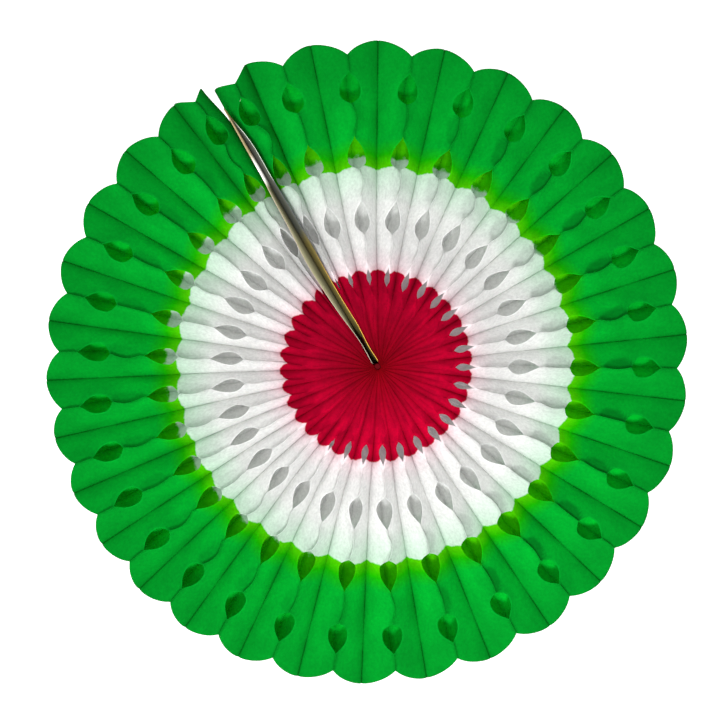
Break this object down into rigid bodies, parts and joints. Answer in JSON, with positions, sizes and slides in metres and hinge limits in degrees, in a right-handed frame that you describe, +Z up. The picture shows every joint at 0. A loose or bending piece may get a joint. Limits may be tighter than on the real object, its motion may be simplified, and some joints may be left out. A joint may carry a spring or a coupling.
{
  "type": "paper fan rosette",
  "caption": "Round honeycomb tissue fan opened to a full disc, with scalloped rim, notched folds and two seam cards.",
  "frame": {"origin": "the pivot where all leaves meet, at mid depth, which is the middle of the disc", "axes": "+Z up as in the picture, the front faces -Y, +X to the right seen from the front; the seam runs to the upper left"},
  "size_m": [0.6413, 0.076, 0.6432],
  "materials": {
    "tissue": "matte dip-dyed tissue",
    "card": "uncoated grey-olive board",
    "thread": "glued thread, dyed red"
  },
  "bodies": {
    "root": {"cell_01": "tissue", "cell_02": "tissue", "cell_03": "tissue", "cell_04": "tissue", "cell_05": "tissue", "cell_06": "tissue", "cell_07": "tissue", "cell_08": "tissue", "cell_09": "tissue", "cell_10": "tissue", "cell_11": "tissue", "cell_12": "tissue", "cell_13": "tissue", "cell_14": "tissue", "cell_15": "tissue", "cell_16": "tissue", "cell_17": "tissue", "cell_18": "tissue", "cell_19": "tissue", "cell_20": "tissue", "cell_21": "tissue", "cell_22": "tissue", "cell_23": "tissue", "cell_24": "tissue", "cell_25": "tissue", "cell_26": "tissue", "cell_27": "tissue", "cell_28": "tissue", "cell_29": "tissue", "cell_30": "tissue", "cell_31": "tissue", "cell_32": "tissue", "left_card": "card", "right_card": "card", "centre_binding": "thread"}
  },
  "joints": []
}
